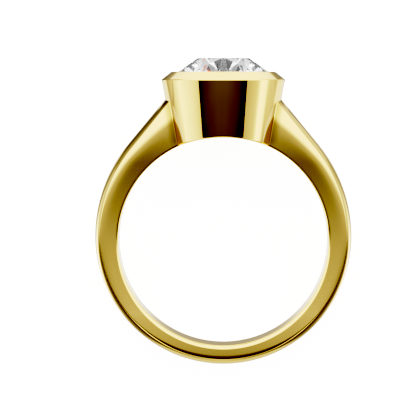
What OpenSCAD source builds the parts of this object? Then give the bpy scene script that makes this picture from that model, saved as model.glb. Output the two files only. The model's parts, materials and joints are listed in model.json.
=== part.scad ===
// A finger ring of polished yellow gold with one round brilliant stone in a heavy tapered bezel.
// It lies on its side as it would on a table: on the bezel's rim and on the base of the shank.
// Everything is drawn upright first, with the finger hole along Y and the stone up, then laid down.

/* [Finger hole] */
// Inside diameter, US ring size 7
finger_d = 17.35; // [15:0.05:20]
// Rounding where the finger hole meets the sides of the shank, from halfway up
edge_r = 0.2; // [0.1:0.05:0.35]
// The same rounding at the base, where the finger wears it
base_edge_r = 0.3; // [0.1:0.05:0.4]

/* [Shank] */
// Thickness at the base, opposite the stone
base_t = 1.72; // [1.3:0.02:2.4]
// Thickness halfway up each side
side_t = 2.0; // [1.8:0.02:2.6]
// Radius of the outline from halfway up each side to the shoulder
shoulder_r = 12.1; // [11.6:0.1:14]
// Lean of the straight shoulder from upright, in degrees
shoulder_lean = 39.7; // [34:0.5:44]
// Width at the base
base_w = 2.6; // [2.2:0.1:3.4]
// Height above the hole's centre at which the shank starts to widen towards the bezel
flare_start = -6; // [-7:0.5:2]
// Height at which that curve ends and each side face goes on widening in a straight line
flare_end = 6.5; // [4:0.1:9]
// Radius of the long curve that each side face widens on
flare_r = 198; // [150:2:400]
// Height of the rounded back above the side faces at the base
base_dome = 0.78; // [0.6:0.02:1]
// Height of the rounded back above the side faces from halfway up
side_dome = 0.46; // [0.3:0.02:0.8]
// Angle from the base at which the soft edge of the back has become a crisp one, in degrees
crisp_a = 75; // [60:1:100]
// Height over which the side faces stay flat before they can roll over
flat_face_h = 1; // [0.8:0.1:1.4]
// How much a taller face rolls in at its outer edge, as a share of its extra height
face_roll = 0.045; // [0:0.005:0.08]
// How late that roll comes, as a power of the height
roll_power = 6; // [3:1:8]

/* [Bezel] */
// Diameter of the rim's widest edge
rim_d = 10.23; // [9.8:0.05:11.5]
// Height of the widest edge above the top of the finger hole
cup_h = 4.66; // [4.4:0.05:6]
// Draft of the outer wall, in degrees
wall_draft = 10; // [4:0.5:12]
// Height of the bevel above the widest edge
bevel_h = 0.65; // [0.3:0.05:0.9]
// Diameter of the bevel's upper edge
crest_d = 8.6; // [8.4:0.05:9.2]
// Diameter of the opening that the lip leaves over the stone
lip_d = 7.74; // [7.2:0.02:7.9]
// Diameter of the hole under the stone at its seat
seat_d = 7.2; // [6.4:0.1:7.4]
// Diameter of the same hole where it opens into the finger hole
base_hole_d = 6.2; // [5:0.1:6.6]

/* [Stone] */
// Diameter of the girdle, about 2 carats
stone_d = 8.1; // [7.9:0.05:8.3]
// Diameter of the table, corner to corner
table_d = 4.18; // [3.8:0.02:4.8]
// Slope of the kite facets, in degrees
crown_angle = 34.5; // [32:0.5:36]
// Height of the girdle
girdle_h = 0.24; // [0.12:0.02:0.4]
// Slope of the pavilion, in degrees
pavilion_angle = 40.75; // [40:0.25:42]
// How far the star facets reach from the table to the girdle, as a share
star_share = 0.5; // [0.4:0.02:0.6]
// How far the lower girdle facets reach from the girdle to the point, as a share
lower_share = 0.77; // [0.7:0.01:0.85]
// Gap all round the stone in its seat
seat_gap = 0.03; // [0.02:0.01:0.05]
// Height of the lip's inner edge above the stone
lip_edge = 0.06; // [0.04:0.01:0.12]

/* [Hidden] */
$fn = 96;

GOLD = "#d9b23c";
BRILLIANT = "#eef2f5";

// The shank's outline: a lower circle, an arc up each side, then a straight shoulder
hole_r = finger_d / 2;
outline_r = hole_r + side_t;
outline_z = side_t - base_t;
arc_x = outline_r - shoulder_r;
lean_n = [cos(shoulder_lean), sin(shoulder_lean)];
arc_end = [arc_x, outline_z] + shoulder_r * lean_n;
shoulder_off = arc_end * lean_n;
arc_from_a = 90 + atan(outline_z / outline_r);
line_from_a = 90 + atan(arc_end.y / arc_end.x);

// The bezel's levels
rim_r = rim_d / 2;
rim_z = hole_r + cup_h;
crest_z = rim_z + bevel_h;
wall_slope = tan(wall_draft);
foot_z = hole_r * 0.85;
function wall_r(z) = rim_r - wall_slope * (rim_z - z);

// Where the straight shoulder runs into the bezel's wall, and how far the sweep goes on inside it
sink = 0.5;
meet_x = (wall_r(0) + wall_slope * shoulder_off / lean_n.y) / (1 + wall_slope * lean_n.x / lean_n.y);
meet_z = (shoulder_off - lean_n.x * meet_x) / lean_n.y;
end_x = meet_x - sink * lean_n.y;
end_z = meet_z + sink * lean_n.x;
end_a = 180 - atan(end_x / end_z);

// Stations round the shank, and points round each section
stations = 84;
edge_steps = 2;
face_steps = 6;
dome_steps = 8;
overcut = 0.5;

// Distance from the hole's centre to the outline, at an angle from the base
function on_circle(a, cx, cz, r) =
    let (along = sin(a) * cx - cos(a) * cz)
    along + sqrt(r * r - cx * cx - cz * cz + along * along);
function crest_r(a) =
    a < arc_from_a ? on_circle(a, 0, outline_z, outline_r) :
    a < line_from_a ? on_circle(a, arc_x, outline_z, shoulder_r) :
    shoulder_off / (lean_n.x * sin(a) - lean_n.y * cos(a));

// Half the width at a height, then at an angle: the back's height, the bore's edge, the back's crispness
function ease(t) = let (s = min(max(t, 0), 1)) s * s * (3 - 2 * s);
function half_w(z) =
    let (curved = min(max(z, flare_start), flare_end) - flare_start, straight = max(z - flare_end, 0))
    base_w / 2 + curved * (curved / 2 + straight) / flare_r;
function lowness(a) = pow(cos(min(a, 90)), 2);
function dome_h(a) = side_dome + (base_dome - side_dome) * lowness(a);
function bore_edge(a) = edge_r + (base_edge_r - edge_r) * lowness(a);
function crispness(a) = 1 + ease(a / crisp_a);

// A point on a side face of full height face, at height f above the rounding of its inner edge
function on_face(a, face, f) =
    let (r = hole_r + bore_edge(a) + f)
    [half_w(-r * cos(a)) - face_roll * max(face - flat_face_h, 0) * pow(f / face, roll_power), r];

// Half of a section as [distance from the mid plane, distance from the hole's centre], bore side first
function half_section(a) =
    let (
        edge = bore_edge(a),
        w = on_face(a, 1, 0).x,
        h = dome_h(a),
        face = crest_r(a) - h - hole_r - edge,
        back = on_face(a, face, face)
    )
    concat(
        [[w - edge - overcut, hole_r - overcut]],
        [for (i = [edge_steps:-1:1])
            let (s = 90 * i / (edge_steps + 1))
            [w - edge + edge * cos(s), hole_r + edge - edge * sin(s)]],
        [for (i = [0:face_steps - 1]) on_face(a, face, face * i / face_steps)],
        [for (i = [0:dome_steps - 1])
            let (s = 90 * i / dome_steps)
            [back.x * cos(s), back.y + h * pow(sin(s), crispness(a))]]
    );
function whole_section(a) =
    let (half = half_section(a), n = len(half))
    concat(
        half,
        [[0, crest_r(a)]],
        [for (i = [n - 1:-1:0]) [-half[i].x, half[i].y]]
    );

// The shank as one sweep through its sections, from inside one wall of the bezel to inside the other
module shank() {
    angles = [for (i = [0:stations]) end_a * (2 * i / stations - 1)];
    sections = [for (a = angles) whole_section(abs(a))];
    n = len(sections[0]);
    points = [
        for (i = [0:stations])
            for (p = sections[i])
                [p.y * sin(angles[i]), p.x, -p.y * cos(angles[i])]
    ];
    sides = [
        for (i = [0:stations - 1])
            for (j = [0:n - 1])
                let (k = (j + 1) % n, a = i * n, b = (i + 1) * n)
                for (f = [[a + j, b + k, b + j], [a + j, a + k, b + k]]) f
    ];
    first = [for (j = [n - 1:-1:0]) j];
    last = [for (j = [0:n - 1]) stations * n + j];
    polyhedron(points = points, faces = concat(sides, [first, last]));
}

// The bezel's outside, from inside the finger hole up to the rim
module bezel_body() {
    rotate_extrude()
        polygon([
            [0, foot_z],
            [wall_r(foot_z), foot_z],
            [rim_r, rim_z],
            [crest_d / 2, crest_z],
            [0, crest_z]
        ]);
}

// The stone's levels: the crown passes just under the lip's inner edge
stone_r = stone_d / 2;
table_r = table_d / 2;
lip_r = lip_d / 2;
crown_slope = tan(crown_angle);
pavilion_slope = tan(pavilion_angle);
lip_under_z = crest_z - lip_edge;
table_z = lip_under_z + (lip_r - table_r) * crown_slope - seat_gap / cos(crown_angle);
girdle_top_z = table_z - (stone_r - table_r) * crown_slope;
girdle_base_z = girdle_top_z - girdle_h;
point_z = girdle_base_z - stone_r * pavilion_slope;

// The seat: the lip's opening, the lip's underside, a pocket for the girdle, the ledge, the hole below
module stone_seat() {
    pocket_r = stone_r + seat_gap;
    pocket_top_z = lip_under_z - (pocket_r - lip_r) * crown_slope;
    ledge_z = girdle_base_z - seat_gap / cos(pavilion_angle);
    ledge_end_z = ledge_z - (pocket_r - seat_d / 2) * pavilion_slope;
    rotate_extrude()
        polygon([
            [0, foot_z - overcut],
            [base_hole_d / 2, foot_z - overcut],
            [base_hole_d / 2, hole_r],
            [seat_d / 2, ledge_end_z],
            [pocket_r, ledge_z],
            [pocket_r, pocket_top_z],
            [lip_r, lip_under_z],
            [lip_r, crest_z + overcut],
            [0, crest_z + overcut]
        ]);
}

module finger_hole() {
    rotate([90, 0, 0])
        cylinder(r = hole_r, h = 2 * rim_d, center = true);
}

// Shank and bezel are soldered into one piece of gold
module shank_with_bezel() {
    color(GOLD)
        difference() {
            union() {
                shank();
                bezel_body();
            }
            finger_hole();
            stone_seat();
        }
}

// A ring of points on the stone, at one radius and level
function gem_ring(r, z, count, from) =
    [for (i = [0:count - 1]) let (a = from + 360 * i / count) [r * cos(a), r * sin(a), z]];

// The round brilliant: 8 kites, 8 stars and 16 upper facets above the girdle, 8 mains and 16 facets below
module stone() {
    facets = 8;
    half_step = 180 / facets;
    star_r = table_r * cos(half_step) + star_share * (stone_r - table_r * cos(half_step));
    star_z = table_z - (star_r * cos(half_step) - table_r) * crown_slope;
    lower_r = stone_r * (1 - lower_share);
    lower_z = girdle_base_z - (stone_r - lower_r * cos(half_step)) * pavilion_slope;
    points = concat(
        gem_ring(table_r, table_z, facets, 0),
        gem_ring(star_r, star_z, facets, half_step),
        gem_ring(stone_r, girdle_top_z, 2 * facets, 0),
        gem_ring(stone_r, girdle_base_z, 2 * facets, 0),
        gem_ring(lower_r, lower_z, facets, half_step),
        [[0, 0, point_z]]
    );
    // The first point of each ring in that list
    star = facets;
    top = 2 * facets;
    base = 4 * facets;
    lower = 6 * facets;
    tip = 7 * facets;
    table = [[for (i = [facets - 1:-1:0]) i]];
    cut = [
        for (i = [0:facets - 1])
            let (
                next = (i + 1) % facets,
                last = (i + facets - 1) % facets,
                g = 2 * i,
                h = 2 * i + 1,
                k = (2 * i + 2) % (2 * facets)
            )
            for (f = [
                [i, next, star + i],
                [i, star + i, top + g, star + last],
                [star + i, top + h, top + g],
                [star + i, top + k, top + h],
                [top + g, top + h, base + h, base + g],
                [top + h, top + k, base + k, base + h],
                [lower + i, base + g, base + h],
                [lower + i, base + h, base + k],
                [tip, lower + last, base + g, lower + i]
            ]) f
    ];
    color(BRILLIANT)
        polyhedron(points = points, faces = concat(table, cut));
}

// How far the base section reaches along a direction, given as its shares across and along the radius
function base_reach(across, along) =
    (hole_r + base_t - base_dome) * along + norm([base_w / 2 * across, base_dome * along]);

// The lean at which the bezel's widest edge and the base of the shank touch the table together
function lean_between(low, high, steps) =
    let (
        mid = (low + high) / 2,
        bezel_low = rim_r * cos(mid) - rim_z * sin(mid),
        base_low = base_reach(cos(mid), sin(mid))
    )
    steps == 0 ? mid :
    bezel_low > base_low ? lean_between(mid, high, steps - 1) : lean_between(low, mid, steps - 1);
rest_lean = lean_between(0, 45, 40);
rest_z = rim_r * cos(rest_lean) - rim_z * sin(rest_lean);
stone_end_y = table_z * cos(rest_lean) + table_r * sin(rest_lean);
base_end_y = -base_reach(sin(rest_lean), cos(rest_lean));

// Lays the upright ring on its side, with the stone towards +Y and the table at z = 0
module laid_down() {
    translate([0, -(stone_end_y + base_end_y) / 2, rest_z])
        rotate([rest_lean - 90, 0, 0])
            children();
}

laid_down() shank_with_bezel();
laid_down() stone();
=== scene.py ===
# %% [markdown]
# A bezel set ring, dressed for its picture.
# The real ring is one piece of polished yellow gold that holds a round brilliant stone.
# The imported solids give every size. This script replaces their plain skins with fine meshes,
# gives them finishes made of nodes, and sets a floor, a studio and a camera round them.

# %% Load the solids
import json
import math
import bpy
import numpy as np
from mathutils import Matrix, Vector


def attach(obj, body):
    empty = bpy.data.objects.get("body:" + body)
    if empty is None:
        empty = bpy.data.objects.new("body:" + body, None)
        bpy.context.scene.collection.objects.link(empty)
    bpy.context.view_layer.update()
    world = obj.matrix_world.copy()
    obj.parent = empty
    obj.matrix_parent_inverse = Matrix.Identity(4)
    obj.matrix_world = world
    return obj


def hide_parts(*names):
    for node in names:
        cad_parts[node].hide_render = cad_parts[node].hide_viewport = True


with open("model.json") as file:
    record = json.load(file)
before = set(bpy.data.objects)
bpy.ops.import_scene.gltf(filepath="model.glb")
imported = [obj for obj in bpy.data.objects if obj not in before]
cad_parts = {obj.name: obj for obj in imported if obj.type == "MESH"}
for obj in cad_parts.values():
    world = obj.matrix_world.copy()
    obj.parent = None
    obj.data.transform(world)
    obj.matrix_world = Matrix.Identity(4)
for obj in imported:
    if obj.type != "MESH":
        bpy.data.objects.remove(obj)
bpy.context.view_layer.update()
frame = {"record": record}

# %% [markdown]
# The ring lies on its side, leaning on the rim of its bezel, so nothing on it is square to the floor.
# It is easier to think in the ring's own directions: across, up towards the stone, and out of the
# finger hole towards the viewer. The finger hole's mount gives its centre and its axis, and the other
# two directions follow from them. Everything is drawn in millimetres in those directions, then placed.

# %% The ring's own directions
hole = next(m for m in frame["record"]["mounts"] if m["name"] == "finger_hole")
CENTRE = np.array(hole["pos_m"])
OUT = np.array(hole["axis"]) / np.linalg.norm(hole["axis"])
ACROSS = np.array([1.0, 0.0, 0.0])
UP = np.cross(OUT, ACROSS)
HOLE_R = hole["dims"]["r_mm"]


def placed(points):
    """World metres for an array of (across, up, out) points in millimetres."""
    return CENTRE + np.asarray(points) @ np.array([ACROSS, UP, OUT]) / 1000


print("the hole leans", round(math.degrees(math.acos(OUT[2])), 2), "degrees from upright")

# %% [markdown]
# The floor is a plain pale sheet. In the picture it is so evenly lit that it reads as white right up
# to the ring, as on a light table, so it glows a little as well as taking the light that falls on it.
# A large flat disc is enough, because a soft light hides its far edge.

# %% Floor
FLOOR_R, FLOOR_SIDES = 1.6, 96
floor_turns = np.linspace(0, 2 * math.pi, FLOOR_SIDES + 1)[:-1]
floor_rim = [(FLOOR_R * math.cos(a), FLOOR_R * math.sin(a), 0.0) for a in floor_turns]
floor_mesh = bpy.data.meshes.new("floor")
floor_mesh.from_pydata(floor_rim, [], [list(range(FLOOR_SIDES))])
floor = bpy.data.objects.new("floor", floor_mesh)
bpy.context.scene.collection.objects.link(floor)
print("floor", 2 * FLOOR_R, "m across")

# %% [markdown]
# The camera stands in front of the finger hole, a little towards the stone, as in the picture.
# Its distance sets how much of the hole's inside shows, and a long lens keeps the ring that small.
# It is placed in the ring's own directions, so it looks down on the ring as it lies.

# %% Camera
EYE = (0.0, 14.11, 144.0)
AIM = (-1.27, 2.67, 0.0)
LENS = 150.3
eye, aim = (Vector(placed([p])[0]) for p in (EYE, AIM))
camera_data = bpy.data.cameras.new("camera")
camera_data.lens = LENS
camera_data.sensor_width = 36.0
camera_data.clip_start, camera_data.clip_end = 0.01, 10.0
camera = bpy.data.objects.new("camera", camera_data)
back = (eye - aim).normalized()
right = Vector(UP).cross(back).normalized()
camera.matrix_world = Matrix([*zip(right, back.cross(right), back, eye), (0, 0, 0, 1)])
bpy.context.scene.collection.objects.link(camera)
bpy.context.scene.camera = camera
print("camera", [round(v, 4) for v in eye], "above the floor")

# %% [markdown]
# A polished edge on a real ring is never sharp: the polishing wheel rounds it, and the small round
# catches a line of light. A corner of a profile is softened with a short curve that leaves one side
# and joins the other at the same distance from the corner, and keeps its slope at both ends.

# %% Softened corners
def softened(before, corner, after, steps):
    """Points of the curve from before to after that bends at corner, without its last point."""
    return [(1 - t) ** 2 * before + 2 * t * (1 - t) * corner + t ** 2 * after
            for t in np.linspace(0, 1, steps + 1)[:-1]]


def profile(corners, reaches, steps=6, spans=4):
    """A closed profile through corners, each softened over its reach, with spans points on each side."""
    corners, out = [np.array(c, float) for c in corners], []
    for i, corner in enumerate(corners):
        last, following = corners[i - 1], corners[(i + 1) % len(corners)]
        far = reaches[(i + 1) % len(corners)]
        before = corner + (last - corner) / np.linalg.norm(last - corner) * reaches[i]
        ahead = (following - corner) / np.linalg.norm(following - corner)
        after, end = corner + ahead * reaches[i], following - ahead * far
        out += softened(before, corner, after, steps)
        out += [after + (end - after) * t for t in np.linspace(0, 1, spans + 1)[:-1]]
    return np.array(out)


# %% [markdown]
# The shank is a band that keeps its inside round while its outside changes: a circle below, a wider
# arc up each side, then a straight shoulder up to the bezel. One function gives the distance of that
# outline from the hole's centre at any angle from the base, and the section is built from it.
# The band also widens on its way up: along an arc of radius FLARE_R from one height to another, then
# straight. Its edges are rounder at the base, and its back is domed more there than at the sides.

# %% Outline of the shank
EDGE, BASE_EDGE = 0.2, 0.3
BASE_T, SIDE_T = 1.72, 2.0
SHOULDER_R, SHOULDER_LEAN = 12.1, math.radians(39.7)
BASE_W, FLARE_START, FLARE_END, FLARE_R = 2.6, -6.0, 6.5, 198.0
BASE_DOME, SIDE_DOME, CRISP_A = 0.78, 0.46, math.radians(75)
FLAT_FACE_H, FACE_ROLL, ROLL_POWER = 1.0, 0.045, 6

OUTLINE_R = HOLE_R + SIDE_T
OUTLINE_UP = SIDE_T - BASE_T
ARC_X = OUTLINE_R - SHOULDER_R
LEAN_N = np.array([math.cos(SHOULDER_LEAN), math.sin(SHOULDER_LEAN)])
ARC_END = np.array([ARC_X, OUTLINE_UP]) + SHOULDER_R * LEAN_N
SHOULDER_OFF = float(ARC_END @ LEAN_N)
ARC_FROM = math.pi / 2 + math.atan(OUTLINE_UP / OUTLINE_R)
LINE_FROM = math.pi / 2 + math.atan(ARC_END[1] / ARC_END[0])


def ease(t):
    s = np.clip(t, 0, 1)
    return s * s * (3 - 2 * s)


def on_circle(a, x, up, r):
    along = np.sin(a) * x - np.cos(a) * up
    return along + np.sqrt(r * r - x * x - up * up + along * along)


def crest(a):
    """Distance of the outline from the hole's centre, at an angle from the base."""
    low = on_circle(a, 0, OUTLINE_UP, OUTLINE_R)
    side = on_circle(a, ARC_X, OUTLINE_UP, SHOULDER_R)
    line = SHOULDER_OFF / np.maximum(LEAN_N[0] * np.sin(a) - LEAN_N[1] * np.cos(a), 0.1)
    return np.where(a < ARC_FROM, low, np.where(a < LINE_FROM, side, line))


print("thickness at base, side and shoulder:", np.round(crest(np.radians([0, 90, 140])) - HOLE_R, 3))

# %% [markdown]
# Across its width the band has flat inner wall, two side faces that are very slightly rounded, and a
# rounded back. At the base the back rolls over into the side faces. Higher up it becomes a low arch
# that meets them in a crisp edge. The section is drawn for one half and mirrored.

# %% Section of the shank
SOFT, TURN = 0.08, 0.09


def half_section(a):
    """Points (out, distance from the hole's centre) from inner wall to crest, at each angle in a."""
    a = np.asarray(a, float)
    lowness = np.cos(np.minimum(a, math.pi / 2)) ** 2
    dome = SIDE_DOME + (BASE_DOME - SIDE_DOME) * lowness
    edge = EDGE + (BASE_EDGE - EDGE) * lowness
    crisp = 1 + ease(a / CRISP_A)
    face = crest(a) - dome - HOLE_R - edge

    def on_face(f):
        r = HOLE_R + edge + f
        curved = np.clip(-r * np.cos(a) - FLARE_START, 0, FLARE_END - FLARE_START)
        straight = np.maximum(-r * np.cos(a) - FLARE_END, 0)
        half_w = BASE_W / 2 + curved * (curved / 2 + straight) / FLARE_R
        roll = FACE_ROLL * np.maximum(face - FLAT_FACE_H, 0) * (f / face) ** ROLL_POWER
        return np.array([half_w - roll, r])

    def on_back(s):
        back_w, back_r = on_face(face)
        return np.array([back_w * np.cos(s), back_r + dome * np.sin(s) ** crisp])

    inner_w = on_face(0 * face)[0]
    wall = [np.array([(inner_w - edge) * t, HOLE_R + 0 * a]) for t in np.linspace(0, 1, 6)]
    bore_edge = softened(wall.pop(), np.array([inner_w, HOLE_R + 0 * a]), on_face(0 * face), 10)
    flat = [on_face((face - SOFT) * t) for t in np.linspace(0, 1, 17)[:-1]]
    back_edge = softened(on_face(face - SOFT), on_face(face), on_back(TURN), 10)
    back = [on_back(s) for s in np.linspace(TURN, math.pi / 2, 23)]
    return np.array(wall + bore_edge + flat + back_edge + back)


print("points in half a section:", half_section(np.zeros(1)).shape[0])

# %% [markdown]
# The bezel is a cup turned on a lathe: a wall that narrows towards the finger, a widest edge, a bevel
# above it and a lip that closes over the stone. Its foot follows the round of the finger hole, so its
# lowest point depends on the direction round the cup.

# %% Sizes of the bezel
RIM_R, RIM_UP = 5.115, HOLE_R + 4.66
WALL_SLOPE = math.tan(math.radians(10))
CREST_R, CREST_UP = 4.3, RIM_UP + 0.65
LIP_R = 3.87


def wall_r(up):
    return RIM_R - WALL_SLOPE * (RIM_UP - up)


print("wall radius at the foot:", round(wall_r(8.0), 3))

# %% [markdown]
# Each line of the shank is run on until it meets the bezel's wall, found by halving an interval.
# It ends a hair inside the wall, so that no gap shows, with no cap and nothing buried in the cup.

# %% Shank sweep
STATIONS = 260
HAIR_A = 0.001
lines = half_section(np.zeros(1)).shape[0]


def line_points(j, a):
    """Points of section line j at the angles a, as (across, up, out)."""
    out, r = half_section(np.abs(a))[j]
    return np.stack([r * np.sin(a), -r * np.cos(a), out], axis=-1)


def meets_wall(j):
    low, high = math.radians(140), math.radians(175)
    for _ in range(30):
        mid = (low + high) / 2
        x, up, out = line_points(j, np.array([mid]))[0]
        low, high = (mid, high) if math.hypot(x, out) > wall_r(up) else (low, mid)
    return low + HAIR_A


ends = [meets_wall(j) for j in range(lines)]
half_grid = np.array([line_points(j, np.linspace(-ends[j], ends[j], STATIONS)) for j in range(lines)])
mirrored = half_grid[::-1] * np.array([1, 1, -1])
shank_grid = np.concatenate([half_grid, mirrored[1:-1]])
print("shank grid:", shank_grid.shape[:2], "ends at", np.round(np.degrees([min(ends), max(ends)]), 1))

# %% [markdown]
# The bezel's grid is one profile for each direction round the cup. The foot's outer edge is softened
# where it shows and stays sharp inside the shoulders, where the two are one piece of metal. The wall
# meets the round of the finger hole at a radius that is found by repeating one step until it settles.
# The pocket for the stone follows the stone's slopes, a small gap away from it, so its sizes come here.

# %% Bezel sweep
TURNS = 288
SEAT_R, BASE_HOLE_R, BASE_HOLE_UP = 3.6, 3.1, HOLE_R + 0.6
HEAD_UP = HOLE_R * 0.95
HEAD_W = BASE_W + (HEAD_UP - FLARE_START) ** 2 / FLARE_R
STONE_R, TABLE_R, GIRDLE_H, SEAT_GAP = 4.05, 2.09, 0.24, 0.03
CROWN_DEG, PAVILION_DEG = 34.5, 40.75
CROWN, PAVILION = math.tan(math.radians(CROWN_DEG)), math.tan(math.radians(PAVILION_DEG))
LIP_UNDER = CREST_UP - 0.06
TABLE_UP = LIP_UNDER + (LIP_R - TABLE_R) * CROWN - SEAT_GAP * math.hypot(1, CROWN)
GIRDLE_TOP = TABLE_UP - (STONE_R - TABLE_R) * CROWN
GIRDLE_BASE = GIRDLE_TOP - GIRDLE_H
POINT_UP = GIRDLE_BASE - STONE_R * PAVILION


def bezel_profile(turn):
    """(distance from the cup's axis, up) round the closed section in one direction."""
    across = abs(math.sin(turn))
    pocket = STONE_R + SEAT_GAP
    ledge = GIRDLE_BASE - SEAT_GAP * math.hypot(1, PAVILION)

    def foot(r):
        return math.sqrt(HOLE_R ** 2 - (r * across) ** 2)

    outer = wall_r(8)
    for _ in range(20):
        outer = wall_r(foot(outer))
    soft = EDGE * float(ease((outer * abs(math.cos(turn)) - HEAD_W / 2 + 0.1) / 0.5))
    inner_foot = [(r, foot(r)) for r in np.linspace(BASE_HOLE_R, outer, 7)]
    corners = [*inner_foot, (RIM_R, RIM_UP), (CREST_R, CREST_UP), (LIP_R, CREST_UP), (LIP_R, LIP_UNDER),
               (pocket, LIP_UNDER - (pocket - LIP_R) * CROWN), (pocket, ledge),
               (SEAT_R, ledge - (pocket - SEAT_R) * PAVILION), (BASE_HOLE_R, BASE_HOLE_UP)]
    reaches = [0.06, *[0.02] * 5, max(soft, 0.004), 0.06, 0.07, 0.05, 0.02, 0.02, 0.02, 0.04, 0.05]
    return profile(corners, reaches)


turns = np.linspace(0, 2 * math.pi, TURNS + 1)[:-1]
bezel_grid = np.array([[(r * math.sin(turn), up, r * math.cos(turn)) for r, up in bezel_profile(turn)]
                       for turn in turns])
print("bezel grid:", bezel_grid.shape[:2])

# %% [markdown]
# Both grids become one mesh. Smooth shading alone would bend the light near each small round, so the
# mesh carries its own normals, taken from the grid's two directions at every point.

# %% Gold mesh
def grid_parts(grid, closed_rows, closed_points):
    """Vertices, quads and normals of a grid. The last point joins the first in each closed direction."""
    n, m = grid.shape[:2]

    def step(axis, closed):
        if closed:
            return np.roll(grid, -1, axis) - np.roll(grid, 1, axis)
        return np.gradient(grid, axis=axis)

    normal = np.cross(step(0, closed_rows), step(1, closed_points))
    normal /= np.maximum(np.linalg.norm(normal, axis=-1, keepdims=True), 1e-12)
    quads = [(i * m + j, (i + 1) % n * m + j, (i + 1) % n * m + (j + 1) % m, i * m + (j + 1) % m)
             for i in range(n if closed_rows else n - 1) for j in range(m if closed_points else m - 1)]
    return grid.reshape(-1, 3), quads, normal.reshape(-1, 3)


def outward(parts, probe, away):
    """The same parts, turned so that the normal at the point nearest to probe points along away."""
    points, quads, normals = parts
    nearest = int(np.argmin(np.linalg.norm(points - np.array(probe), axis=1)))
    if normals[nearest] @ np.array(away) > 0:
        return points, quads, normals
    return points, [q[::-1] for q in quads], -normals


shank_parts = outward(grid_parts(shank_grid, True, False), (0, -HOLE_R - BASE_T, 0), (0, -1, 0))
bezel_parts = outward(grid_parts(bezel_grid, True, True), (0, 12, wall_r(12)), (0, 0, 1))


def mesh_of(name, parts):
    """One mesh in world metres from several grids, with their normals kept."""
    points, quads, normals = [], [], []
    for p, q, n in parts:
        quads += [tuple(v + len(points) for v in quad) for quad in q]
        points, normals = [*points, *p], [*normals, *n]
    mesh = bpy.data.meshes.new(name)
    mesh.from_pydata([tuple(v) for v in placed(points)], [], quads)
    mesh.polygons.foreach_set("use_smooth", [True] * len(mesh.polygons))
    turned = np.array(normals) @ np.array([ACROSS, UP, OUT])
    mesh.normals_split_custom_set_from_vertices([tuple(v) for v in turned])
    return mesh


gold_ring = bpy.data.objects.new("gold_ring", mesh_of("gold_ring", [shank_parts, bezel_parts]))
bpy.context.scene.collection.objects.link(gold_ring)
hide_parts("shank_with_bezel")
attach(gold_ring, "root")
print("gold ring:", len(gold_ring.data.polygons), "faces")

# %% [markdown]
# A round brilliant has a flat table, eight kites and eight stars and sixteen small facets round it,
# a thin girdle, and eight long mains with sixteen facets between them that run down to a point.
# Each facet is a flat polygon with hard edges, because a cut stone has no soft ones. The stars reach
# half the way out from the table, and the lower facets run 77 hundredths of the way to the point.
# The points are laid down ring by ring, and STAR to TIP tell where each ring starts in their list.

# %% Stone mesh
def gem_ring(r, up, count, start):
    turns = start + 2 * math.pi * np.arange(count) / count
    return [(r * math.sin(t), up, r * math.cos(t)) for t in turns]


HALF = math.pi / 8
STAR_SHARE, LOWER_SHARE = 0.5, 0.77
flat_r = TABLE_R * math.cos(HALF)
star_r = flat_r + STAR_SHARE * (STONE_R - flat_r)
star_up = TABLE_UP - (star_r * math.cos(HALF) - TABLE_R) * CROWN
lower_r = STONE_R * (1 - LOWER_SHARE)
lower_up = GIRDLE_BASE - (STONE_R - lower_r * math.cos(HALF)) * PAVILION
gem_points = (gem_ring(TABLE_R, TABLE_UP, 8, 0) + gem_ring(star_r, star_up, 8, HALF)
              + gem_ring(STONE_R, GIRDLE_TOP, 16, 0) + gem_ring(STONE_R, GIRDLE_BASE, 16, 0)
              + gem_ring(lower_r, lower_up, 8, HALF) + [(0, POINT_UP, 0)])
STAR, TOP, BASE, LOWER, TIP = 8, 16, 32, 48, 56
gem_faces = [tuple(range(8))]
for i in range(8):
    following, last, g, h, k = (i + 1) % 8, (i - 1) % 8, 2 * i, 2 * i + 1, (2 * i + 2) % 16
    gem_faces += [(i, STAR + i, following), (i, STAR + last, TOP + g, STAR + i),
                  (STAR + i, TOP + g, TOP + h), (STAR + i, TOP + h, TOP + k),
                  (TOP + g, BASE + g, BASE + h, TOP + h), (TOP + h, BASE + h, BASE + k, TOP + k),
                  (LOWER + i, BASE + h, BASE + g), (LOWER + i, BASE + k, BASE + h),
                  (TIP, LOWER + i, BASE + g, LOWER + last)]
gem_mesh = bpy.data.meshes.new("brilliant")
gem_mesh.from_pydata([tuple(v) for v in placed(gem_points)], [], gem_faces)
brilliant = bpy.data.objects.new("brilliant", gem_mesh)
bpy.context.scene.collection.objects.link(brilliant)
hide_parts("stone")
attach(brilliant, "root")
print("brilliant:", len(gem_mesh.polygons), "facets, volume sign check:",
      round(sum(f.center.dot(f.normal) * f.area for f in gem_mesh.polygons) * 1e9 / 3, 1))

# %% [markdown]
# Shader nodes read more easily as sums. A small class wraps one output, and its operators add the
# Math nodes, so that a line of Python is a line of shader maths. One more class holds a node tree
# and makes any other node from its type, its settings, and the values or links of its sockets.

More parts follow.
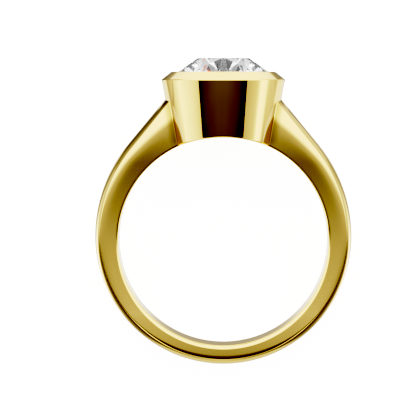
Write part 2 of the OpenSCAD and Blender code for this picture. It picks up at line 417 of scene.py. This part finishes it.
# %% Shader helpers
class Wire:
    """One output in a node tree, with the operators that add Math nodes."""

    def __init__(self, tree, socket):
        self.tree, self.socket = tree, socket

    def maths(self, operation, *values):
        return self.tree.node("ShaderNodeMath", {"operation": operation}, values)

    def __add__(self, other):
        return self.maths("ADD", self, other)

    def __radd__(self, other):
        return self.maths("ADD", other, self)

    def __sub__(self, other):
        return self.maths("SUBTRACT", self, other)

    def __rsub__(self, other):
        return self.maths("SUBTRACT", other, self)

    def __mul__(self, other):
        return self.maths("MULTIPLY", self, other)

    def __rmul__(self, other):
        return self.maths("MULTIPLY", other, self)

    def __truediv__(self, other):
        return self.maths("DIVIDE", self, other)

    def __pow__(self, other):
        return self.maths("POWER", self, other)

    def __abs__(self):
        return self.maths("ABSOLUTE", self)

    def between(self, low, high):
        """0 below low, 1 above high, and a smooth step between them."""
        settings = {"interpolation_type": "SMOOTHSTEP"}
        return self.tree.node("ShaderNodeMapRange", settings, [self, low, high, 0.0, 1.0])

    def hump(self, middle, reach):
        """1 at middle, falling smoothly to 0 at reach on both sides of it."""
        return 1 - abs(self - middle).between(0.0, reach)

    def graph(self, *points):
        """A smooth graph through (value, result) points, with no result above 2."""
        low, high = points[0][0], points[-1][0]
        drawn = [((x - low) / (high - low), y / 2) for x, y in points]
        place = self.tree.node("ShaderNodeMapRange", {}, [self, low, high, 0.0, 1.0])
        return self.tree.node("ShaderNodeFloatCurve", {"points": drawn}, {"Value": place}) * 2


def draw_curve(mapping, number, points):
    """Put points on one curve of a curve mapping, with handles that never overshoot."""
    curve = mapping.curves[number]
    curve.points[0].location, curve.points[-1].location = points[0], points[-1]
    for x, y in points[1:-1]:
        curve.points.new(x, y)
    for point in curve.points:
        point.handle_type = "AUTO_CLAMPED"
    mapping.update()


class Tree:
    """A node tree that is being written."""

    def __init__(self, owner):
        owner.use_nodes = True
        self.nodes, self.links = owner.node_tree.nodes, owner.node_tree.links
        self.nodes.clear()

    def node(self, kind, settings=None, values=(), output=0):
        made = self.nodes.new(kind)
        for name, value in (settings or {}).items():
            if name == "points":
                draw_curve(made.mapping, 0, value)
            else:
                setattr(made, name, value)
        for key, value in (values.items() if isinstance(values, dict) else enumerate(values)):
            if isinstance(value, Wire):
                self.links.new(value.socket, made.inputs[key])
            else:
                made.inputs[key].default_value = value
        return Wire(self, made.outputs[output]) if made.outputs else None


print("shader helpers ready")

# %% [markdown]
# A finish often depends on the place: the wall of the finger hole is worn by the finger, and the seat
# under the stone is never polished at all. So a material needs to know where it is on the ring. This
# helper gives three wires, in the ring's own directions, in millimetres from the middle of the hole.
# They come from the object's own coordinates, so the finish stays on the ring when the ring is moved.

# %% Places on the ring
def ring_place(t):
    """Wires for across, up and out, in millimetres from the middle of the finger hole."""
    point = t.node("ShaderNodeTexCoord", {}, {}, "Object")
    from_middle = t.node("ShaderNodeVectorMath", {"operation": "SUBTRACT"}, [point, tuple(CENTRE)])
    dot = {"operation": "DOT_PRODUCT"}
    return [t.node("ShaderNodeVectorMath", dot, [from_middle, tuple(axis)], "Value") * 1000
            for axis in (ACROSS, UP, OUT)]


def noise(t, parts, scale, detail=2.0, roughness=0.5):
    """Smooth noise, from 0 to 1, at a place given as three wires."""
    place = t.node("ShaderNodeCombineXYZ", {}, list(parts))
    settings = {"Vector": place, "Scale": scale, "Detail": detail, "Roughness": roughness}
    return t.node("ShaderNodeTexNoise", {}, settings)


def blend(t, share, start, end):
    """A colour from start to end by share. Both may be colours or wires."""
    return t.node("ShaderNodeMix", {"data_type": "RGBA"}, {0: share, 6: start, 7: end}, 2)


print("places on the ring ready")

# %% [markdown]
# Yellow gold is a metal: all its colour is in its reflections, so Metallic is 1 and the base colour is
# the colour of those reflections. A polishing wheel leaves very fine lines that run round the band and
# round the bezel. They are too fine to see one by one, but they widen each highlight a little across
# the lines. So each noise is stretched: slow along the lines and quick across them.

# %% Polishing lines
gold = bpy.data.materials.new("polished_yellow_gold")
t = Tree(gold)
x, up, out = ring_place(t)
hole_r = (x * x + up * up) ** 0.5
cup_r = (x * x + out * out) ** 0.5
hole_turn = up.maths("ARCTAN2", x, up)
cup_turn = out.maths("ARCTAN2", x, out)
on_bezel = (1 - cup_r.between(5.12, 5.3)) * up.between(7.9, 8.2)
band_lines = noise(t, [hole_turn * 4, hole_r * 40, out * 40], 1.0, 3.0)
cup_lines = noise(t, [cup_turn * 2, up * 40, cup_r * 40], 1.0, 3.0)
lines = band_lines + (cup_lines - band_lines) * on_bezel
print("polishing lines ready")

# %% [markdown]
# A ring that is worn has a few hairline scratches too, and the wall of its finger hole is a little
# duller, because it slides over a finger. A hairline is the place where a slow noise crosses its
# middle value. Where the shoulders meet the bezel, a thin band of painted shade darkens the gold's
# colour in the crease, in place of the darker reflections there.

# %% Wear, and painted shade at the joint
wear = noise(t, [x, up, out], 0.55, 3.0, 0.6)
hair = noise(t, [x, up * 1.3, out * 2.2], 1.9, 1.0, 0.4)
scratches = (1 - abs(hair - 0.5).between(0.0008, 0.004)) * wear.between(0.45, 0.7)
inside_hole = 1 - hole_r.between(HOLE_R + 0.01, HOLE_R + 0.08)
off_bezel = cup_r - (RIM_R - WALL_SLOPE * (RIM_UP - up))
# painted shade: a thin band beside the bezel's wall darkens the crease between shoulder and bezel
joint_shade = off_bezel.between(0.02, 0.06) * (1 - off_bezel.between(0.08, 0.7)) * up.between(7.7, 8.4)
print("wear and joint ready")

# %% [markdown]
# The hollow under the stone is never polished, so it is dull. Yet it matters to the picture: a
# brilliant seen from low down shows its own seat, broken up by the facets. The light that a real
# brilliant gathers there takes many more bounces than a render can follow, so what is seen of the seat
# through the stone is painted light: the seat glows in eight darker spokes with a pale painted glow
# between them, and two small painted spots, one amber and one black, give the flashes of colour. The
# Light Path node tells which rays have been through the stone, so that from below, through the hole,
# the seat is plain dull gold.
# In the code off_eighth is the angle, in degrees, from the nearest of the eight directions.

# %% Painted glow in the seat
seat = (1 - cup_r.between(4.09, 4.12)) * hole_r.between(HOLE_R + 0.02, HOLE_R + 0.1)
seat = seat * (1 - up.between(CREST_UP - 0.05, CREST_UP - 0.03)) * up.between(6.0, 7.0)
eighths = cup_turn * (4 / math.pi) + 0.5
off_eighth = abs(eighths.maths("FRACT", eighths) - 0.5) * 45
spoke = (1 - off_eighth.between(8.0, 9.0)) * up.between(10.66, 10.72) * (1 - up.between(11.9, 12.2))
foot = (1 - off_eighth.between(4.5, 5.0)) * up.between(10.3, 10.36) * (1 - up.between(10.66, 10.72))
on_spoke = up.graph((10.3, 0.01), (10.9, 0.02), (11.3, 0.045), (12.0, 0.09))
off_spoke = up.graph((8.9, 0.30), (10.4, 0.24), (10.8, 0.20), (11.8, 0.24), (12.5, 0.35), (13.6, 0.6))
glow = off_spoke + (on_spoke - off_spoke) * spoke.maths("MAXIMUM", spoke, foot)
turn = cup_turn * math.degrees(1)
level = up.between(11.0, 11.05) * (1 - up.between(11.55, 11.6))
# painted glints: an amber spot and a black spot on the seat, seen only through the stone
painted_amber_flash = turn.between(162.5, 163.5) * (1 - turn.between(168.0, 169.0)) * level
painted_black_flash = (1 - turn.between(-163.5, -162.5)) * turn.between(-169.0, -168.0) * level
painted_flash_colour = blend(t, painted_amber_flash, (1, 1, 1, 1), (0.9, 0.22, 0.02, 1))
painted_flash_colour = blend(t, painted_black_flash, painted_flash_colour, (0.02, 0.02, 0.02, 1))
through_stone = t.node("ShaderNodeLightPath", {}, {}, "Transmission Depth").between(0.0, 1.0)
seen_in_stone = seat * through_stone
# painted light: the seat glows, but only for rays that come through the stone
shine = blend(t, glow * seen_in_stone, (0, 0, 0, 1), painted_flash_colour)
print("seat glow ready")

# %% [markdown]
# Now the gold itself. The same noises drive Roughness and a Bump node, so a line is both duller and
# lower. The colour changes only a little: paler where it is worn, and darker in painted shade along
# the joint with the bezel.

# %% Gold finish
polished = blend(t, wear.between(0.3, 0.75), (0.972, 0.768, 0.396, 1), (0.966, 0.758, 0.384, 1))
worn = blend(t, scratches * 0.5, polished, (0.93, 0.74, 0.42, 1))
# painted shade: the band at the joint takes a deeper, darker gold
with_joint_shade = blend(t, joint_shade, worn, (0.64, 0.49, 0.22, 1))
# painted shade: the seat seen through the stone is made near black under its painted glow
colour = blend(t, seen_in_stone, with_joint_shade, (0.06, 0.06, 0.065, 1))
rough = 0.03 + lines * 0.012 + wear * 0.012 + scratches * 0.05 + inside_hole * 0.03 + seat * 0.35
depth = lines * 0.3 + scratches * -0.8 + seat * noise(t, [x, up, out], 6.0) * 3
bump = t.node("ShaderNodeBump", {}, {"Strength": 0.06, "Distance": 0.000004, "Height": depth})
surface = t.node("ShaderNodeBsdfPrincipled", {}, {
    "Base Color": colour, "Metallic": 1.0, "Roughness": rough, "Normal": bump,
    "Emission Color": shine, "Emission Strength": 1.0})
t.node("ShaderNodeOutputMaterial", {}, {"Surface": surface})
gold_ring.data.materials.append(gold)
print("gold finish ready")

# %% [markdown]
# A clear brilliant is glass to Blender, with a much higher index than window glass. Diamond's is 2.42.
# Here it is 2.2, because with few bounces the higher one keeps light trapped inside and the facets
# turn black. A trace of glow makes up for the light that is lost in so many reflections. The girdle is
# ground, not polished, so it is rough, and the facets keep the faintest lines of the polishing lap.

# %% Stone finish
STONE_INDEX = 2.2
clear = bpy.data.materials.new("clear_brilliant")
t = Tree(clear)
x, up, out = ring_place(t)
girdle_r = (x * x + out * out) ** 0.5
girdle = up.between(GIRDLE_BASE - 0.01, GIRDLE_BASE + 0.01)
girdle = girdle * (1 - up.between(GIRDLE_TOP - 0.01, GIRDLE_TOP + 0.01)) * girdle_r.between(3.9, 3.95)
lap_lines = noise(t, [x * 30, up * 4, out * 4], 1.0, 2.0)
rough = girdle * 0.3 + lap_lines * 0.002
glass = t.node("ShaderNodeBsdfGlass", {}, {"Color": (1, 1, 1, 1), "Roughness": rough, "IOR": STONE_INDEX})
returned = t.node("ShaderNodeEmission", {}, {"Color": (0.95, 0.98, 1.0, 1), "Strength": 0.004})
surface = t.node("ShaderNodeAddShader", {}, [glass, returned])
t.node("ShaderNodeOutputMaterial", {}, {"Surface": surface})
brilliant.data.materials.append(clear)
print("stone finish ready")

# %% [markdown]
# The floor is matt white paper, lit until it reads as white, and it glows a little so that only the
# faintest shadow stays where the ring touches it. The ring sees this paper too, all round its outside.
# In the picture those reflections are drawn by the cards that stand round the ring: a bright line
# beside the outline, a darker one outside it, and light again further off. So the paper has a second
# face that only the reflections see, where those soft lights and darks are painted round the ring as a
# glowing pattern: a painted reflection of the cards.
# Its places are given by radius, the distance from the hole's middle, and slant, from -1 at the base
# to 1 at the stone.

# %% Paper round the ring
LIT = 0.69
pale = bpy.data.materials.new("pale_floor")
t = Tree(pale)
place = t.node("ShaderNodeNewGeometry", {}, {}, "Position")
x, y = (t.node("ShaderNodeSeparateXYZ", {}, [place], axis) * 1000 for axis in ("X", "Y"))
from_hole = y - CENTRE[1] * 1000
radius = (x * x + from_hole * from_hole) ** 0.5
slant = from_hole / radius
side = abs(x)
left = 1 - x.between(-2.0, 2.0)
north = slant.between(0.0, 0.45)
near_base = radius.graph((9.5, 0.40), (14.0, 0.53), (18.0, 0.45), (30.0, 0.43))
far_left = side.graph((16, 0.50), (30, 0.74), (60, 0.94), (130, 0.96))
far_right = side.graph((16, 0.50), (40, 0.55), (60, 0.62), (90, 0.8), (130, 0.93))
far = far_right + (far_left - far_right) * left
laid = near_base + (far - near_base) * side.between(14.0, 22.0)
print("paper round the ring ready")

# %% [markdown]
# Over that lie the narrower tones. A light ridge and a dark valley follow the outline of the ring, so
# they slide outwards as the outline does, and a soft dark band stands outside the lower half.

# %% Ridge, valley and band
RIDGE_SLIDE, VALLEY_SLIDE = 5.5, 7.0
ridge_tone = slant.graph((-1, 0), (-0.75, 0), (-0.45, 0.5), (-0.1, 0.6), (0.25, 0.2), (0.5, 0), (1, 0))
ridge = (radius - slant * RIDGE_SLIDE).hump(14.3, 2.0) * ridge_tone
valley_tone = slant.graph((-1, 0.0), (0.0, 0.05), (0.35, 0.28), (0.9, 0.33), (1, 0.3))
valley = (radius - slant * VALLEY_SLIDE).hump(11.5, 2.6) * valley_tone
band = (radius - slant * RIDGE_SLIDE).between(15.0, 17.5) * side.between(6.0, 9.0)
band = band * (1 - side.between(30.0, 60.0)) * (1 - slant.between(-0.15, 0.1)) * 0.34
beside = north * (1 - radius.between(11.5, 13.0)) * 0.4
outside = laid + ridge + beside - valley * (0.75 + 0.25 * left) - band
print("ridge, valley and band ready")

# %% [markdown]
# Beside the bezel two parts of the ring look at the same paper. The shoulders should see it dark, with
# more light on the right, and the bezel's wall should see it light. The wall stands further from the
# paper, so the length of the reflected ray, which the Light Path node gives, tells the two apart.

# %% Paper beside the bezel
from_left = side + (y - 9.5) * 0.6
below = 9.5 - y
from_right = side - below * 0.5 - below.maths("MAXIMUM", below, 0.0)
shoulder_left = from_left.graph((5, 0.62), (6, 0.55), (7, 0.35), (8, 0.25), (9, 0.16), (10, 0.13),
                                (11, 0.17), (12, 0.23), (13, 0.27), (14, 0.30), (16, 0.33), (20, 0.36))
shoulder_right = from_right.graph((2, 1.0), (5, 0.8), (6, 0.62), (7, 0.38), (8, 0.26), (8.7, 0.27),
                                  (9.5, 0.40), (10.2, 0.51), (11, 0.53), (20, 0.52))
seen_by_shoulder = shoulder_right + (shoulder_left - shoulder_right) * left
wall_left = side.graph((5, 0.62), (7, 0.66), (9, 0.71), (10.6, 0.75), (11.6, 0.5), (12.4, 0.36), (14, 0.42),
                       (18, 0.5))
wall_right = side.graph((5, 0.62), (7, 0.66), (9, 0.71), (11, 0.74), (14.5, 0.73), (16, 0.5), (18, 0.47))
seen_by_wall = wall_right + (wall_left - wall_right) * left
ray = t.node("ShaderNodeLightPath", {}, {}, "Ray Length") * 1000
shortest_from_wall = side * 0.7 + y * 0.25 - 1.425
from_wall = (ray - shortest_from_wall).between(-0.1, 0.1)
from_wall = from_wall * y.between(7.0, 7.6) * (1 - y.between(10.8, 11.2))
by_bezel = seen_by_shoulder + (seen_by_wall - seen_by_shoulder) * from_wall
in_zone = y.between(6.0, 7.4) * (1 - y.between(14.0, 15.0)) * (1 - side.between(22.0, 28.0))
outside = outside + (by_bezel - outside) * in_zone
print("paper beside the bezel ready")

# %% [markdown]
# Beyond the stone the paper's painted reflection is light for the bevel, with one dark patch in the
# middle of it, where a dark card would stand, and darker corners. Inside the finger hole it darkens
# towards the base, a painted shade where the ring lies close to the paper. Each zone has a soft edge.

# %% Paper beyond the stone and inside the hole
beyond_stone = y.graph((13.5, 0.25), (16, 0.3), (18, 0.75), (26, 0.92), (60, 0.95))
corner = (side / y).between(0.62, 0.70) * y.between(13.0, 14.5)
beyond_stone = beyond_stone + (0.49 - left * 0.24 - beyond_stone) * corner
outside = outside + (beyond_stone - outside) * y.between(13.0, 15.0)
# painted reflection: a dark patch on the reflected paper, standing in for a dark card
painted_dark_patch = (1 - side.between(6.0, 9.0)) * y.between(34.0, 42.0) * (1 - y.between(60.0, 68.0))
outside = outside + (0.40 - outside) * painted_dark_patch
# painted shade: the reflected paper inside the hole darkens towards the base, where the ring lies close
inside = y.graph((-11.5, 0.31), (-9.5, 0.345), (-7.0, 0.70), (0, 0.85))
pattern = outside + (inside - outside) * (1 - radius.between(9.0, 10.0))
mirrored_floor = t.node("ShaderNodeEmission", {}, {"Color": pattern, "Strength": LIT})
print("whole paper ready")

# %% [markdown]
# A Mix Shader puts the two faces of the paper together. The Light Path node tells which ray has come:
# the camera, and whatever is seen through the stone, get the plain paper, and all the rest the pattern.

# %% Floor finish
PAPER_GLOW = 0.6
paper = t.node("ShaderNodeBsdfPrincipled", {}, {
    "Base Color": (0.93, 0.93, 0.93, 1), "Roughness": 0.8,
    "Emission Color": (1, 1, 1, 1), "Emission Strength": PAPER_GLOW})
by_camera = t.node("ShaderNodeLightPath", {}, {}, "Is Camera Ray")
through_stone = t.node("ShaderNodeLightPath", {}, {}, "Transmission Depth").between(0.0, 1.0)
plain = by_camera.maths("MAXIMUM", by_camera, through_stone)
surface = t.node("ShaderNodeMixShader", {}, [plain, mirrored_floor, paper])
t.node("ShaderNodeOutputMaterial", {}, {"Surface": surface})
floor.data.materials.append(pale)
print("floor finish ready")

# %% [markdown]
# Polished gold has almost no look of its own: what it shows is the room. So the studio is drawn with
# care, as a white tent seen from the ring. Its zones are written in the ring's own directions, as an
# azimuth round the ring and a height above the line of sight through the finger hole, in degrees.

# %% Directions in the studio
world = bpy.data.worlds.new("studio")
bpy.context.scene.world = world
t = Tree(world)
direction = t.node("ShaderNodeTexCoord", {}, {}, "Generated")


def along(axis):
    return t.node("ShaderNodeVectorMath", {"operation": "DOT_PRODUCT"}, [direction, tuple(axis)], "Value")


across, up, out = along(ACROSS), along(UP), along(OUT)
azimuth = across.maths("ARCTAN2", across, out) * math.degrees(1)
height = up.maths("ARCSINE", up) * math.degrees(1)
away = abs(azimuth)
print("directions in the studio ready")

# %% [markdown]
# In front of the ring the tent is bright down to a few degrees below the line of sight. Below that it
# is open, which gives the bezel its dark middle and the side faces their deep tones. The lower edge of
# the bright part is a long fade, because the faces of the shank turn through only a few degrees and
# show it much enlarged. It is dimmer to the left and right, where the tent curves away.

# %% Front of the studio
low = height.graph((-90, 0.55), (-66, 0.50), (-60, 0.3), (-50, 0.08), (-30, 0.10), (-21.8, 0.134),
                   (-21, 0.139), (-20.3, 0.15), (-12, 0.12))
strip = height.graph((-12, 0.12), (-10.8, 0.14), (-10.1, 0.18), (-9.9, 0.205), (-9.6, 0.255), (-9.3, 0.305),
                     (-9.0, 0.345), (-8.6, 0.37), (-8.0, 0.41), (-7.7, 0.5), (-7.2, 0.64), (-6.6, 0.82),
                     (-5.8, 0.95), (-5, 0.98), (-2, 0.98))
all_round = low + (strip - low) * height.between(-12.2, -11.8)
aside = abs(azimuth + 3.3)
shade = aside.graph((0, 1.04), (7, 1.04), (13, 1.01), (19, 0.97), (25, 0.915), (31, 0.84), (37, 0.745),
                    (41, 0.67), (45, 0.4), (49, 0.3))
shade = shade + (1 - shade) * height.between(-14, -12)
in_front = all_round * shade
print("front of the studio ready")

# %% [markdown]
# To the left and right stand two tall cards, which the sides of the bezel show as light panels. Each
# card's top edge falls away towards the front, and above it the tent is dim at first and then grows
# lighter upwards.

# %% Sides of the studio
card = azimuth.graph((-92, 0.96), (-80, 0.88), (-66, 0.78), (-56, 0.66), (-48, 0.56), (48, 0.43),
                     (58, 0.48), (68, 0.56), (74, 0.76), (80, 1.0), (92, 0.92))
card_rise = away.graph((40, 0.15), (56, 0.3), (62, 0.5), (68, 0.8), (72, 1.05), (80, 1.5), (95, 2.0))
card_top = card_rise * 2 - 17.3
above_card = height.graph((-20, 0.20), (-16.5, 0.205), (-15, 0.235), (-14, 0.30), (-13, 0.42), (-12, 0.52),
                          (-9, 0.62), (-5, 0.98))
at_sides = above_card + (card - above_card) * (card_top - height).between(0.0, 0.6)
to_side = abs(azimuth + 1.0).between(46.5, 48.1)
brightness = LIT * (in_front + (at_sides - in_front) * to_side)
print("sides of the studio ready")

# %% [markdown]
# In the hollow between bezel and shoulder the wall mirrors the shoulder, and the shoulder mirrors the
# studio. The Light Path node counts those reflections, so this twice mirrored light gets its own tones:
# brown at the bottom of the hollow and light at its top, with a slanting edge between the two, a few
# degrees further round on the right. Gold mirrored in gold is a deep yellow, so the light part is cool.

# %% Light in the hollows
brown = away.graph((48, 0.24), (51.5, 0.26), (54, 0.33), (57, 0.33), (61, 0.26), (66, 0.24), (75, 0.28))
round_from_front = away - azimuth.between(-1.0, 1.0) * 4
edge_drop = round_from_front.graph((48, 0.0), (53, 0.32), (61.5, 0.80), (67, 1.04), (70, 1.24),
                                   (72.5, 1.38), (76, 1.52), (80, 1.8), (95, 2.0))
hollow_top = (height - (edge_drop * -2.5 - 12.5)).between(-0.5, 0.5)
in_hollow = brown + (0.68 - brown) * hollow_top
mirrored_twice = t.node("ShaderNodeLightPath", {}, {}, "Glossy Depth").between(1.0, 2.0)
mirrored_twice = mirrored_twice * to_side * height.between(-24.0, -22.0) * (1 - height.between(-6.0, -4.0))
brightness = brightness + (LIT * in_hollow - brightness) * mirrored_twice
print("light in the hollows ready")

# %% [markdown]
# The camera sees plain white behind the ring. Light that has been inside the stone also meets two
# small cards, an amber one and a black one, for the flashes that set a brilliant off.

# %% Studio light
WHITE_BEHIND = 1.1
by_camera = t.node("ShaderNodeLightPath", {}, {}, "Is Camera Ray")
inside_stone = t.node("ShaderNodeLightPath", {}, {}, "Transmission Depth")
strength = brightness + (WHITE_BEHIND - brightness) * by_camera
cards = inside_stone.between(0.0, 1.0) * height.between(4.0, 5.0) * (1 - height.between(13.0, 15.0))
cards = cards * away.between(65.0, 66.0) * (1 - away.between(74.0, 75.0))
amber, black = cards * azimuth.between(-1.0, 1.0), cards * (1 - azimuth.between(-1.0, 1.0))
tint = blend(t, mirrored_twice * hollow_top, (1, 1, 1, 1), (0.87, 1.08, 2.1, 1))
tint = blend(t, amber, tint, (0.5, 0.08, 0.01, 1))
tint = blend(t, black, tint, (0.02, 0.02, 0.02, 1))
background = t.node("ShaderNodeBackground", {}, {"Color": tint, "Strength": strength})
t.node("ShaderNodeOutputWorld", {}, {"Surface": background})
print("studio light ready")

# %% [markdown]
# A photographer's film keeps little in the shadows and rolls off gently near white. The same curve
# here turns the warm metal's darker tones deep and saturated, and its bright ones pale.

# %% Tone curve
view = bpy.context.scene.view_settings
view.view_transform = "Standard"
view.use_curve_mapping = True
ALL_COLOURS = 3
draw_curve(view.curve_mapping, ALL_COLOURS, [
    (0.0, 0.0), (0.0675, 0.0), (0.0735, 0.005), (0.08, 0.02), (0.09, 0.04), (0.102, 0.076), (0.115, 0.12),
    (0.13, 0.165), (0.15, 0.234), (0.175, 0.311), (0.20, 0.388), (0.235, 0.49), (0.28, 0.598),
    (0.35, 0.712), (0.42, 0.777), (0.47, 0.823), (0.56, 0.874), (0.70, 0.96), (1.0, 1.0)])
print("tone curve set")
